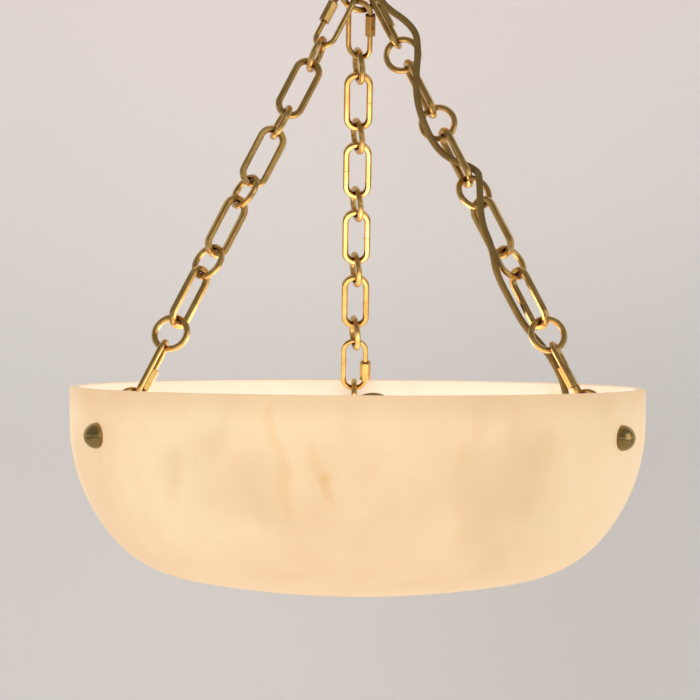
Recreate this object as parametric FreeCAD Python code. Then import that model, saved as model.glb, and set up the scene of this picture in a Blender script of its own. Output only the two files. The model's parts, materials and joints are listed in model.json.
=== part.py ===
import FreeCAD, Part
import math
import os

os.makedirs("parts", exist_ok=True)

V = FreeCAD.Vector

# Millimetres. The ceiling is the plane z = 0 and the lamp hangs below it; the front is -Y.
# Heights inside the lamp are given from the bowl's rim, which is level.

# Bowl: one turned alabaster shell of even wall.
bowl_radius = 254.0
bowl_wall = 8.0
bowl_band = 29.7            # upright band under the rim
bowl_side_radius = 157.4    # outer face, first bend under the band
bowl_foot_radius = 105.0    # outer face, tighter bend towards the foot
side_bend = 40.0            # degrees that the side turns in
foot_bend = 78.65           # degrees turned in where the flat dish of the bottom starts
rim_rounding = 1.5

# Chain pieces.
ring_section = 5.0
ring_inside = 24.0
link_section = 5.6
link_length = 59.2
link_width = 26.0
section_chamfer = 1.35      # corners of the square chain wire
link_seam = 0.3             # butt joint of a bent link
quick_wire = 4.8
quick_inside = 49.5         # inner length of a quick link
quick_bars = 21.0           # middle of one bar to the middle of the other
sleeve_length = 19.5
sleeve_flats = 8.8
sleeve_start = 0.3          # from the end of the straight bar to the closed sleeve
stub_length = 3.6           # bar end that the closed sleeve grips
bar_opening = 6.0           # gap in the bar, under the closed sleeve
sleeve_fit = 0.05           # radial, sleeve on bar
hook_gap = 0.25             # between two pieces that hang in each other

# Top ring, loop and canopy.
top_ring_wire = 5.6
top_ring_outside = 45.5
loop_wire = 6.0
loop_inside = 22.0
loop_drop = 87.4            # ceiling to the middle of the loop's lowest wire
swing_gap = 0.06            # top ring on loop
ring_gap = 0.45             # quick links on top ring
stem_radius = 5.0
stem_clearance = 0.5        # round the stem in the canopy
boss_radius = 8.0
boss_taper = 2.0
boss_root = 1.0             # boss sunk into the loop
collar_rest = 0.5           # left between the dropped collar and the boss
canopy_radius = 62.0
canopy_height = 38.0
canopy_corner = 24.0
canopy_sheet = 1.5
collar_radius = 12.0
collar_height = 6.0
collar_bevel = 2.5
collar_fit = 0.06
canopy_drop = 11.0          # travel of collar and canopy down the stem
crossbar_length = 96.0
crossbar_width = 22.0
crossbar_thick = 3.0
fixing_spacing = 70.0
fixing_radius = 2.75

# Hanging points in the bowl.
bolt_depth = 38.5           # rim to bolt axis
bolt_radius = 4.0
bolt_clearance = 0.25
bolt_end = 1.5              # thread past the nut
head_radius = 11.0
seat_radius = 10.3
seat_cut = 0.05             # inner seat, ground into the band
washer_radius = 10.0
washer_thick = 1.5
bracket_thick = 4.0
bracket_width = 18.0
bracket_foot = 10.0         # leg below the bolt axis
bracket_bend = 2.0          # inner radius of the bend
lip_depth = 22.9            # rim to the middle of the bracket's lip
lip_inset = 28.0            # bowl's outer face to the middle of the lip's bar
lip_bar = 4.6
lip_rounding = 1.2
eye_width = 8.4
eye_length = 10.0
nut_flats = 13.0
nut_thick = 6.5

# Lamp unit.
carrier_depth = 58.0        # rim to the top of the arms
carrier_thick = 2.0
carrier_width = 16.0
carrier_disc = 36.0
carrier_bend = 3.0
hub_radius = 30.0
hub_flat = 28.0             # lamp axis to the flats that carry the lampholders
hub_height = 40.0
hub_stem_radius = 6.0
lampholder_radius = 18.0
lampholder_length = 40.0
lampholder_foot_radius = 9.0
lampholder_foot = 6.0
lampholder_bevel = 3.0
neck_length = 8.0           # narrower mouth of the lampholder
neck_step = 1.5
neck_slope = 2.0
socket_spare = 1.0          # socket deeper than the cap
bulb_radius = 30.0
bulb_length = 104.0
bulb_cap_radius = 13.0
bulb_cap_length = 26.0
bulb_fit = 0.1              # radial, cap in lampholder
cap_bevel = 3.0
cap_end_gap = 0.3           # under the cap of a fitted bulb
bulb_travel = 25.0

# Cord and its glands.
cord_radius = 3.0
gland_flats = 15.0
gland_hex = 6.0
gland_nose_radius = 6.0
gland_nose = 6.0
gland_shank_radius = 4.0
gland_bevel = 2.0
gland_thread = 4.0          # shank past the canopy's sheet
back_nut_flats = 13.0
back_nut_thick = 3.0
gland_x = 7.0
gland_y = -24.0
hub_gland_x = -8.0

lip_radius = bowl_radius - lip_inset

chain_azimuths = {"left": -60.0, "middle": 180.0, "right": 60.0}
lamp_azimuths = (0.0, 120.0, 240.0)

# The top ring's plane, degrees turned back from facing the front on its right side.
ring_turn = 28.0
# Where each chain's quick link sits on the top ring, degrees from its lowest point.
hang_angles = {"left": -50.0, "middle": 0.0, "right": 52.0}

# Turn of each piece about its chain: 0 shows its face to the front, 90 its edge.
piece_turns = {
    "left": (-40.0, 80.0, 0.0, -80.0, 8.0, -61.0, 38.0, -48.0, 51.0, -25.0, 82.0),
    "middle": (-25.0, 102.0, 0.0, 105.0, 0.0, 104.0, 0.0, 102.0, 0.0, 101.0, 0.0),
    "right": (75.0, -5.0, 98.0, 0.0, 105.0, 34.0, -35.0, 49.0, -55.0, 20.0, 78.0),
}
piece_names = ("top_quick_link", "ring_a", "link_1", "ring_b", "link_2", "ring_c",
               "link_3", "ring_d", "link_4", "ring_e", "lower_quick_link", "ring_f")
# Side of each quick link that carries its sleeve, seen from the front: 1 is right.
sleeve_sides = {
    "left": {"top_quick_link": -1, "lower_quick_link": 1},
    "middle": {"top_quick_link": 1, "lower_quick_link": 1},
    "right": {"top_quick_link": 1, "lower_quick_link": -1},
}

# How finely a hooked pair is compared when its distance is found, and where the search starts.
bar_points = 10
bend_points = 40
halvings = 14
first_rim = -458.0

# Route of the cord from the canopy's gland to the hub's gland, heights from the rim. It is laid
# out beside chains whose lips have this radius, and spreads with them.
route_lip_radius = 226.0
bend_share = 0.45           # of the shorter run at a corner, taken up by its arc
cord_route = (
    (7.0, -24.0, 392.0),
    (9.0, -23.0, 366.0),
    (15.0, -22.0, 341.0),
    (48.0, -26.0, 321.0),
    (54.0, -32.0, 292.0),
    (50.0, -40.0, 263.0),
    (52.0, -46.5, 236.5),
    (63.5, -39.0, 206.0),
    (99.5, -38.5, 196.5),
    (112.0, -66.0, 178.0),
    (110.0, -75.0, 147.0),
    (107.0, -82.0, 122.0),
    (111.0, -82.0, 98.0),
    (123.0, -73.0, 76.0),
    (142.0, -67.0, 52.0),
    (158.0, -76.0, 27.0),
    (170.0, -87.0, 4.0),
    (175.0, -90.0, -20.0),
    (160.0, -84.0, -45.0),
    (120.0, -62.0, -47.0),
    (76.0, -34.0, -47.0),
    (46.0, -12.0, -44.0),
    (33.0, -3.0, -21.6),
    (21.0, 0.0, -9.6),
    (4.0, 0.0, -9.6),
    (-8.0, 0.0, -21.6),
)


def polar(azimuth, radius, height):
    """Point at an azimuth turned from the front towards +X."""
    angle = math.radians(azimuth)
    return V(radius * math.sin(angle), -radius * math.cos(angle), height)


def outward_frame(azimuth, height):
    """Placement whose local X points out along an azimuth and local Z points up."""
    turn = FreeCAD.Rotation(V(0, 0, 1), azimuth - 90.0)
    return FreeCAD.Placement(V(0, 0, height), turn)


def placed(shape, placement):
    """Copy of a shape moved by a placement."""
    moved = shape.copy()
    moved.Placement = placement.multiply(moved.Placement)
    return moved


def line(start, end):
    return Part.LineSegment(start, end).toShape()


def arc(start, middle, end):
    return Part.Arc(start, middle, end).toShape()


def revolved(edges, centre, axis, angle=360.0):
    """Solid turned from a closed outline."""
    face = Part.Face(Part.Wire(edges))
    return face.revolve(centre, axis, angle)


def turned(points):
    """Solid of revolution about local Z from (radius, height) corners."""
    corners = [V(radius, 0, height) for radius, height in points]
    outline = Part.makePolygon(corners + [corners[0]])
    return Part.Face(outline).revolve(V(0, 0, 0), V(0, 0, 1), 360.0)


def hexagon(flats, height):
    """Hexagonal prism standing on local z = 0."""
    corner = flats / math.sqrt(3.0)
    corners = [V(corner * math.cos(k * math.pi / 3), corner * math.sin(k * math.pi / 3), 0)
               for k in range(7)]
    return Part.Face(Part.makePolygon(corners)).extrude(V(0, 0, height))


# ---------------------------------------------------------------- bowl

def bowl_side(inset):
    """Bends of the outer face moved inwards by inset: list of (centre, radius, angle, angle)."""
    side_centre = (bowl_radius - bowl_side_radius, -bowl_band)
    step = bowl_side_radius - bowl_foot_radius
    angle = math.radians(side_bend)
    foot_centre = (side_centre[0] + step * math.cos(angle), side_centre[1] - step * math.sin(angle))
    foot = math.radians(foot_bend)
    dish_radius = bowl_foot_radius + foot_centre[0] / math.cos(foot)
    dish_centre = (0.0, foot_centre[1] + (dish_radius - bowl_foot_radius) * math.sin(foot))
    return [
        (side_centre, bowl_side_radius - inset, 0.0, angle),
        (foot_centre, bowl_foot_radius - inset, angle, foot),
        (dish_centre, dish_radius - inset, foot, math.pi / 2),
    ]


def on_bend(bend, angle):
    centre, radius = bend[0], bend[1]
    return V(centre[0] + radius * math.cos(angle), 0, centre[1] - radius * math.sin(angle))


def bend_edge(bend):
    first, last = bend[2], bend[3]
    return arc(on_bend(bend, first), on_bend(bend, (first + last) / 2), on_bend(bend, last))


def wall_radius(depth, inset):
    """Radius of the wall's face at a depth under the rim, within the band and first bend."""
    if depth <= bowl_band:
        return bowl_radius - inset
    radius = bowl_side_radius - inset
    drop = depth - bowl_band
    return bowl_radius - bowl_side_radius + math.sqrt(radius * radius - drop * drop)


def make_bowl():
    outer = bowl_side(0.0)
    inner = bowl_side(bowl_wall)
    inside = bowl_radius - bowl_wall
    diagonal = rim_rounding * (1 - math.sqrt(0.5))
    edges = [bend_edge(bend) for bend in outer]
    edges.append(line(on_bend(outer[2], math.pi / 2), on_bend(inner[2], math.pi / 2)))
    edges.extend(bend_edge(bend) for bend in inner)
    edges.append(line(V(inside, 0, -bowl_band), V(inside, 0, -rim_rounding)))
    edges.append(arc(V(inside, 0, -rim_rounding), V(inside + diagonal, 0, -diagonal),
                     V(inside + rim_rounding, 0, 0)))
    edges.append(line(V(inside + rim_rounding, 0, 0), V(bowl_radius - rim_rounding, 0, 0)))
    edges.append(arc(V(bowl_radius - rim_rounding, 0, 0), V(bowl_radius - diagonal, 0, -diagonal),
                     V(bowl_radius, 0, -rim_rounding)))
    edges.append(line(V(bowl_radius, 0, -rim_rounding), V(bowl_radius, 0, -bowl_band)))
    shell = revolved(Part.__sortEdges__(edges), V(0, 0, 0), V(0, 0, 1))
    for azimuth in chain_azimuths.values():
        shell = shell.cut(placed(wall_drilling(), outward_frame(azimuth, -bolt_depth)))
    return shell


def wall_drilling():
    """Bolt hole with a ground flat seat on each face of the wall."""
    hole = Part.makeCylinder(bolt_radius + 2 * bolt_clearance, 2 * bowl_wall,
                             V(inner_seat - bowl_wall / 2, 0, 0), V(1, 0, 0))
    outer = Part.makeCylinder(seat_radius, bowl_wall, V(outer_seat, 0, 0), V(1, 0, 0))
    inner = Part.makeCylinder(seat_radius, bowl_wall, V(inner_seat, 0, 0), V(-1, 0, 0))
    return hole.fuse(outer).fuse(inner)


# ---------------------------------------------------------------- chain pieces

class Kind:
    """Outline of a chain piece: two half circles joined by straight bars."""

    def __init__(self, bend, half_straight, half_section):
        self.bend = bend
        self.half_straight = half_straight
        self.half_section = half_section


RING = Kind((ring_inside + ring_section) / 2, 0.0, ring_section / 2)
LINK = Kind((link_width - link_section) / 2, (link_length - link_width) / 2, link_section / 2)
QUICK = Kind(quick_bars / 2, (quick_inside + quick_wire - quick_bars) / 2, quick_wire / 2)
TOP_RING = Kind((top_ring_outside - top_ring_wire) / 2, 0.0, top_ring_wire / 2)


def kind_of(name):
    if "quick" in name:
        return QUICK
    return LINK if "link" in name else RING


def square_section(centre, half):
    """Square wire with chamfered corners, in the plane across the wire at x = centre, z = 0."""
    flat = half - section_chamfer
    corners = [(half, flat), (flat, half), (-flat, half), (-half, flat),
               (-half, -flat), (-flat, -half), (flat, -half), (half, -flat)]
    points = [V(centre + x, y, 0) for x, y in corners]
    return Part.Face(Part.makePolygon(points + [points[0]]))


def round_section(centre, radius):
    circle = Part.makeCircle(radius, V(centre, 0, 0), V(0, 0, 1))
    return Part.Face(Part.Wire(circle))


def half_bend(section, height, side):
    """End of a piece: its section swept through half a turn above or below a height."""
    moved = section.copy()
    moved.translate(V(0, 0, height))
    return moved.revolve(V(0, 0, height), V(0, -side, 0), 180.0)


def make_ring():
    return square_section(RING.bend, RING.half_section).revolve(V(0, 0, 0), V(0, 1, 0), 360.0)


def make_link(seam_side):
    """Long link bent from square wire, with its butt seam half way up one bar."""
    section = square_section(LINK.bend, LINK.half_section)
    half = LINK.half_straight
    link = half_bend(section, half, 1).fuse(half_bend(section, -half, -1))
    for side in (1, -1):
        bar = square_section(side * LINK.bend, LINK.half_section)
        bar.translate(V(0, 0, -half))
        link = link.fuse(bar.extrude(V(0, 0, 2 * half)))
    link = link.removeSplitter()
    seam = Part.makeBox(2 * link_section, 2 * link_section, link_seam,
                        V(-link_section, -link_section, -link_seam / 2))
    seam.translate(V(seam_side * LINK.bend, 0, 0))
    return link.cut(seam)


def make_quick_link(side, stub_end):
    """Quick link: round wire with a gap in the bar that its sleeve bridges."""
    section = round_section(QUICK.bend, QUICK.half_section)
    half = QUICK.half_straight
    body = half_bend(section, half, 1).fuse(half_bend(section, -half, -1))
    whole = Part.makeCylinder(QUICK.half_section, 2 * half, V(-side * QUICK.bend, 0, -half))
    stub = Part.makeCylinder(QUICK.half_section, stub_length, V(0, 0, 0), V(0, 0, -1))
    bar = Part.makeCylinder(QUICK.half_section, 2 * half - stub_length - bar_opening,
                            V(0, 0, -stub_length - bar_opening), V(0, 0, -1))
    for piece in (stub, bar):
        piece.translate(V(side * QUICK.bend, 0, half))
        if stub_end < 0:
            piece = piece.mirror(V(0, 0, 0), V(0, 0, 1))
        body = body.fuse(piece)
    return body.fuse(whole).removeSplitter()


def make_sleeve(side, stub_end):
    """Six-sided sleeve, closed over the gap of its quick link."""
    sleeve = hexagon(sleeve_flats, sleeve_length)
    bore = Part.makeCylinder(QUICK.half_section + sleeve_fit, sleeve_length)
    sleeve = sleeve.cut(bore)
    top = QUICK.half_straight - sleeve_start
    bottom = top - sleeve_length if stub_end > 0 else -top
    sleeve.translate(V(side * QUICK.bend, 0, bottom))
    return sleeve


def half_outline(kind, side):
    """Middle line of the upper (1) or lower (-1) half of a piece, as (x, z) points."""
    points = [(sign * kind.bend, side * kind.half_straight * k / bar_points)
              for sign in (1, -1) for k in range(bar_points)]
    for k in range(bend_points + 1):
        angle = math.pi * k / bend_points
        height = kind.half_straight + kind.bend * math.sin(angle)
        points.append((kind.bend * math.cos(angle), side * height))
    return points


def in_space(points, lateral, up):
    """Local (x, z) points as plain triples along the lateral and up directions."""
    return [(x * lateral.x + z * up.x, x * lateral.y + z * up.y, x * lateral.z + z * up.z)
            for x, z in points]


def least_distance(first, second, shift):
    """Smallest distance between two point rows, the second one moved by shift."""
    least = 1e9
    for bx, by, bz in second:
        bx += shift[0]
        by += shift[1]
        bz += shift[2]
        for ax, ay, az in first:
            gap = (ax - bx) * (ax - bx) + (ay - by) * (ay - by) + (az - bz) * (az - bz)
            if gap < least:
                least = gap
    return math.sqrt(least)


def seat_pitch(first, second, down, touch, guess):
    """How far the second piece hangs below the first one before their wires touch."""
    low, high = guess - 2 * link_section, guess + link_section
    for _ in range(halvings):
        middle = (low + high) / 2
        if least_distance(first, second, (down * middle)[:]) >= touch:
            low = middle
        else:
            high = middle
    return low


# ---------------------------------------------------------------- the three hanging chains

class Chain:
    """Straight line of hooked pieces from the top ring down to a bracket's lip."""

    def __init__(self, side):
        self.side = side
        self.azimuth = chain_azimuths[side]
        angle = math.radians(hang_angles[side])
        self.top = on_top_ring(angle)

    def aim(self, rim):
        """Point the chain at its lip for one height of the rim and turn its pieces."""
        self.foot = polar(self.azimuth, lip_radius, rim - lip_depth)
        self.down = (self.foot - self.top).normalize()
        self.up = self.down * -1.0
        away = V(0, 1, 0) - self.down * self.down.y
        away.normalize()
        right = away.cross(self.down)
        if right.x < 0:
            right = right * -1.0
        self.laterals = []
        for turn in piece_turns[self.side]:
            angle = math.radians(turn)
            self.laterals.append(right * math.cos(angle) + away * math.sin(angle))
        across = self.down.cross(V(0, 0, 1)).normalize()
        self.laterals.append(across.cross(self.down).normalize())

    def seat(self):
        """Distances between the middles of neighbours when the chain is taut."""
        hang = hang_angles[self.side]
        wire = [on_top_ring(math.radians(hang + 2.0 * k)) - self.top for k in range(-40, 41)]
        above = [(point.x, point.y, point.z) for point in wire]
        half = TOP_RING.half_section
        reach = 0.0
        self.pitches = []
        for name, lateral in zip(piece_names, self.laterals):
            kind = kind_of(name)
            top_half = in_space(half_outline(kind, 1), lateral, self.up)
            gap = hook_gap if self.pitches else ring_gap
            touch = half + kind.half_section + gap
            guess = reach + kind.bend + kind.half_straight - half - kind.half_section
            self.pitches.append(seat_pitch(above, top_half, self.down, touch, guess))
            above = in_space(half_outline(kind, -1), lateral, self.up)
            half = kind.half_section
            reach = kind.bend + kind.half_straight
        self.pitches.append(self.lip_pitch())

    def lip_pitch(self):
        """Distance from the last ring's middle to the middle of the lip's bar inside it."""
        out = polar(self.azimuth, 1.0, 0.0)
        along = V(0, 0, 1)
        wide = lip_bar / 2 - lip_rounding
        thick = bracket_thick / 2 - lip_rounding
        room = ring_inside / 2 - lip_rounding - hook_gap
        low, high = 0.0, room
        for _ in range(halvings):
            middle = (low + high) / 2
            corners = [self.down * middle + out * (sx * wide) + along * (sz * thick)
                       for sx in (1, -1) for sz in (1, -1)]
            if max(corner.Length for corner in corners) <= room:
                low = middle
            else:
                high = middle
        return low

    def rim_height(self):
        """Height of the rim at which this chain is just taut."""
        level = math.hypot(self.foot.x - self.top.x, self.foot.y - self.top.y)
        length = sum(self.pitches)
        return self.top.z - math.sqrt(length * length - level * level) + lip_depth

    def settle(self):
        """Middles of the pieces, with any slack shared by all the hooks."""
        slack = sum(self.pitches) - (self.foot - self.top).Length
        give = slack / len(self.pitches)
        self.centres = []
        point = self.top
        for pitch in self.pitches[:-1]:
            point = point + self.down * (pitch - give)
            self.centres.append(point)
        self.give = give

    def placement(self, index):
        """Local X across the piece, local Z up the chain."""
        lateral = self.laterals[index]
        turn = FreeCAD.Rotation(lateral, self.up.cross(lateral), self.up, "ZXY")
        return FreeCAD.Placement(self.centres[index], turn)


def on_top_ring(angle):
    """Point of the top ring's middle line, turned from its lowest point."""
    sideways = ring_across * (math.sin(angle) * TOP_RING.bend)
    return top_ring_centre + sideways - V(0, 0, math.cos(angle) * TOP_RING.bend)


ring_across = V(math.cos(math.radians(ring_turn)), math.sin(math.radians(ring_turn)), 0)
ring_normal = V(-ring_across.y, ring_across.x, 0)
top_ring_centre = V(0, 0, -loop_drop + loop_wire / 2 + swing_gap + top_ring_wire / 2
                    - TOP_RING.bend)
# The ring hangs on the loop: its upper wire rests on top of the loop's lowest wire.
outer_seat = wall_radius(bolt_depth + seat_radius, 0.0)
inner_seat = bowl_radius - bowl_wall + seat_cut
leg_face = inner_seat - washer_thick
tab_face = leg_face - bracket_thick
nut_face = tab_face - carrier_thick
socket_floor = lampholder_length - bulb_cap_length - socket_spare

chains = [Chain(side) for side in chain_azimuths]
rim = first_rim
for _ in range(2):
    for chain in chains:
        chain.aim(rim)
        chain.seat()
    rim = max(chain.rim_height() for chain in chains)
for chain in chains:
    chain.aim(rim)
    chain.settle()

parts = {}


def keep(name, shape):
    """File one piece, or a group of identical fasteners, under its name."""
    parts[name] = shape


def group(shapes):
    return Part.makeCompound(shapes)


# ---------------------------------------------------------------- ceiling fitting

def make_crossbar():
    bar = Part.makeBox(crossbar_length, crossbar_width, crossbar_thick,
                       V(-crossbar_length / 2, -crossbar_width / 2, -crossbar_thick))
    corners = [edge for edge in bar.Edges if abs(edge.tangentAt(edge.FirstParameter).z) > 0.9]
    bar = bar.makeFillet(crossbar_width / 4, corners)
    bar = bar.cut(Part.makeCylinder(stem_radius, crossbar_thick, V(0, 0, -crossbar_thick)))
    for side in (1, -1):
        hole = Part.makeCylinder(fixing_radius, crossbar_thick,
                                 V(side * fixing_spacing / 2, 0, -crossbar_thick))
        bar = bar.cut(hole)
    return bar


def canopy_outline(inset):
    """Half outline of the canopy's outer or inner face, from rim to bottom."""
    radius = canopy_radius - inset
    corner = canopy_corner - inset
    flat = canopy_radius - canopy_corner
    turn = -(canopy_height - canopy_corner)
    slant = corner * math.sqrt(0.5)
    return [
        (V(radius, 0, 0), V(radius, 0, turn)),
        (V(radius, 0, turn), V(flat + slant, 0, turn - slant), V(flat, 0, turn - corner)),
        (V(flat, 0, turn - corner), V(0, 0, turn - corner)),
    ]


def make_canopy():
    outer = canopy_outline(0.0)
    inner = canopy_outline(canopy_sheet)
    edges = []
    for outline in (outer, inner):
        for points in outline:
            edges.append(arc(*points) if len(points) == 3 else line(*points))
    edges.append(line(outer[0][0], inner[0][0]))
    edges.append(line(outer[2][1], inner[2][1]))
    shell = revolved(Part.__sortEdges__(edges), V(0, 0, 0), V(0, 0, 1))
    stem_hole = Part.makeCylinder(stem_radius + stem_clearance, canopy_height,
                                  V(0, 0, -canopy_height))
    gland_hole = Part.makeCylinder(gland_shank_radius, canopy_height,
                                   V(gland_x, gland_y, -canopy_height))
    return shell.cut(stem_hole).cut(gland_hole)


def make_gland(shank):
    """Cord gland on its seat at local z = 0, with its nose down and its shank up."""
    nut = hexagon(gland_flats, gland_hex)
    nut.translate(V(0, 0, -gland_hex))
    tip = gland_hex + gland_nose
    nose = turned([(0, -gland_hex), (gland_nose_radius, -gland_hex),
                   (gland_nose_radius, -tip + gland_bevel),
                   (gland_nose_radius - gland_bevel, -tip), (0, -tip)])
    gland = nut.fuse(nose)
    if shank > 0:
        gland = gland.fuse(Part.makeCylinder(gland_shank_radius, shank))
    return gland.removeSplitter()


def make_canopy_gland():
    """Gland through the canopy, with its thin back nut inside."""
    gland = make_gland(canopy_sheet + gland_thread)
    back = hexagon(back_nut_flats, back_nut_thick)
    back.translate(V(0, 0, canopy_sheet))
    gland = gland.fuse(back)
    gland.translate(V(gland_x, gland_y, -canopy_height))
    return gland


def make_ceiling_loop():
    """Loop square to the top ring, on a threaded stem that screws into the crossbar."""
    bend = (loop_inside + loop_wire) / 2
    centre = -loop_drop + bend
    eye = Part.makeTorus(bend, loop_wire / 2, V(0, 0, centre), ring_across)
    boss_top = -canopy_height - collar_height - canopy_drop - collar_rest
    boss_foot = centre + bend - boss_root
    boss = Part.makeCone(boss_radius - boss_taper, boss_radius, boss_top - boss_foot,
                         V(0, 0, boss_foot))
    stem = Part.makeCylinder(stem_radius, -boss_top, V(0, 0, boss_top))
    return eye.fuse(boss).fuse(stem).removeSplitter()


def make_collar():
    """Round collar nut that holds the canopy up against the ceiling."""
    top = -canopy_height
    bore = stem_radius + collar_fit
    return turned([(bore, top), (collar_radius, top), (collar_radius, top - collar_height / 2),
                   (collar_radius - collar_bevel, top - collar_height), (bore, top - collar_height)])


def make_top_ring():
    return Part.makeTorus(TOP_RING.bend, TOP_RING.half_section, top_ring_centre, ring_normal)


keep("ceiling_crossbar", make_crossbar())
keep("ceiling_loop", make_ceiling_loop())
keep("ceiling_canopy", make_canopy())
keep("canopy_gland", make_canopy_gland())
keep("collar_nut", make_collar())
keep("top_ring", make_top_ring())


# ---------------------------------------------------------------- chains

seam_sides = {
    "left": {"link_1": 1, "link_2": -1, "link_3": -1, "link_4": 1},
    "middle": {"link_1": 1, "link_2": -1, "link_3": 1, "link_4": 1},
    "right": {"link_1": 1, "link_2": 1, "link_3": 1, "link_4": -1},
}
last_rings = []
for chain in chains:
    side = chain.side
    for index, name in enumerate(piece_names):
        spot = chain.placement(index)
        if name == "ring_f":
            last_rings.append(placed(make_ring(), spot))
        elif "quick" in name:
            hand = sleeve_sides[side][name]
            stub_end = 1 if name.startswith("top") else -1
            keep(side + "_" + name, placed(make_quick_link(hand, stub_end), spot))
            sleeve_name = side + "_" + name.replace("quick_link", "sleeve")
            keep(sleeve_name, placed(make_sleeve(hand, stub_end), spot))
        elif "link" in name:
            keep(side + "_" + name, placed(make_link(seam_sides[side][name]), spot))
        else:
            keep(side + "_" + name, placed(make_ring(), spot))
keep("bracket_rings", group(last_rings))


# ---------------------------------------------------------------- hanging points

def make_dome_bolt():
    """Dome head outside, shank through wall, bracket and arm; local X points out."""
    under = outer_seat + washer_thick
    head = Part.makeSphere(head_radius, V(under, 0, 0), V(1, 0, 0), 0, 90)
    tip = nut_face - nut_thick - bolt_end
    shank = Part.makeCylinder(bolt_radius, under - tip, V(tip, 0, 0), V(1, 0, 0))
    return head.fuse(shank)


def make_washer(face):
    washer = Part.makeCylinder(washer_radius, washer_thick, V(face, 0, 0), V(1, 0, 0))
    hole = Part.makeCylinder(bolt_radius + bolt_clearance, washer_thick, V(face, 0, 0), V(1, 0, 0))
    return washer.cut(hole)


def make_bracket():
    """Bent strip: a leg bolted to the wall and a lip with an eye for the last ring."""
    half = bracket_width / 2
    top = bolt_depth - lip_depth + bracket_thick / 2
    tip = lip_radius - lip_bar / 2
    inner = bracket_bend
    outer = bracket_bend + bracket_thick
    under = top - bracket_thick
    near = leg_face - bracket_thick
    bend_x, bend_z = near - inner, under - inner
    slant = math.sqrt(0.5)
    edges = [
        line(V(tip, 0, top), V(bend_x, 0, top)),
        arc(V(bend_x, 0, top), V(bend_x + outer * slant, 0, bend_z + outer * slant),
            V(leg_face, 0, bend_z)),
        line(V(leg_face, 0, bend_z), V(leg_face, 0, -bracket_foot)),
        line(V(leg_face, 0, -bracket_foot), V(near, 0, -bracket_foot)),
        line(V(near, 0, -bracket_foot), V(near, 0, bend_z)),
        arc(V(near, 0, bend_z), V(bend_x + inner * slant, 0, bend_z + inner * slant),
            V(bend_x, 0, under)),
        line(V(bend_x, 0, under), V(tip, 0, under)),
        line(V(tip, 0, under), V(tip, 0, top)),
    ]
    strip = Part.Face(Part.Wire(edges)).extrude(V(0, bracket_width, 0))
    strip.translate(V(0, -half, 0))
    eye_start = lip_radius + lip_bar / 2
    end = eye_width / 2
    eye = Part.makeBox(eye_length - 2 * end, eye_width, 2 * bracket_thick,
                       V(eye_start + end, -end, under - bracket_thick / 2))
    for x in (eye_start + end, eye_start + eye_length - end):
        eye = eye.fuse(Part.makeCylinder(end, 2 * bracket_thick,
                                         V(x, 0, under - bracket_thick / 2)))
    tip_edges = [edge for edge in strip.Edges
                 if abs(edge.CenterOfMass.x - tip) < 0.01 and edge.Length > half]
    strip = strip.makeFillet(lip_rounding, tip_edges)
    strip = strip.cut(eye)
    hole = Part.makeCylinder(bolt_radius + bolt_clearance, 2 * bracket_thick,
                             V(near - bracket_thick / 2, 0, 0), V(1, 0, 0))
    return strip.cut(hole)


def make_nut():
    nut = hexagon(nut_flats, nut_thick)
    nut = nut.cut(Part.makeCylinder(bolt_radius, nut_thick))
    lie = FreeCAD.Placement(V(nut_face - nut_thick, 0, 0), FreeCAD.Rotation(V(0, 1, 0), 90.0))
    return placed(nut, lie)


bolts, washers, brackets, nuts = [], [], [], []
for azimuth in chain_azimuths.values():
    spot = outward_frame(azimuth, rim - bolt_depth)
    bolts.append(placed(make_dome_bolt(), spot))
    washers.append(placed(make_washer(outer_seat), spot))
    washers.append(placed(make_washer(leg_face), spot))
    brackets.append(placed(make_bracket(), spot))
    nuts.append(placed(make_nut(), spot))
keep("alabaster_bowl", placed(make_bowl(), FreeCAD.Placement(V(0, 0, rim), FreeCAD.Rotation())))
keep("dome_bolts", group(bolts))
keep("wall_washers", group(washers))
keep("hanger_brackets", group(brackets))
keep("bolt_nuts", group(nuts))


# ---------------------------------------------------------------- lamp unit

def make_carrier():
    """Disc with three flat arms, each turned up against a bracket and clamped by its nut."""
    top = -carrier_depth
    disc = Part.makeCylinder(carrier_disc, carrier_thick, V(0, 0, top - carrier_thick))
    reach = tab_face
    near = tab_face - carrier_thick
    inner = carrier_bend
    outer = carrier_bend + carrier_thick
    bend_x, bend_z = near - inner, top + inner
    tab_top = -bolt_depth + carrier_width / 2
    slant = math.sqrt(0.5)
    edges = [
        line(V(carrier_disc / 2, 0, top), V(bend_x, 0, top)),
        arc(V(bend_x, 0, top), V(bend_x + inner * slant, 0, bend_z - inner * slant),
            V(near, 0, bend_z)),
        line(V(near, 0, bend_z), V(near, 0, tab_top)),
        line(V(near, 0, tab_top), V(reach, 0, tab_top)),
        line(V(reach, 0, tab_top), V(reach, 0, bend_z)),
        arc(V(reach, 0, bend_z), V(bend_x + outer * slant, 0, bend_z - outer * slant),
            V(bend_x, 0, top - carrier_thick)),
        line(V(bend_x, 0, top - carrier_thick), V(carrier_disc / 2, 0, top - carrier_thick)),
        line(V(carrier_disc / 2, 0, top - carrier_thick), V(carrier_disc / 2, 0, top)),
    ]
    arm = Part.Face(Part.Wire(edges)).extrude(V(0, carrier_width, 0))
    arm.translate(V(0, -carrier_width / 2, 0))
    hole = Part.makeCylinder(bolt_radius + bolt_clearance, 2 * outer,
                             V(near - outer, 0, -bolt_depth), V(1, 0, 0))
    arm = arm.cut(hole)
    for azimuth in chain_azimuths.values():
        disc = disc.fuse(placed(arm, outward_frame(azimuth, 0.0)))
    bore = Part.makeCylinder(hub_stem_radius, 2 * carrier_thick,
                             V(hub_gland_x, 0, top - 1.5 * carrier_thick))
    return disc.removeSplitter().cut(bore)


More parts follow.
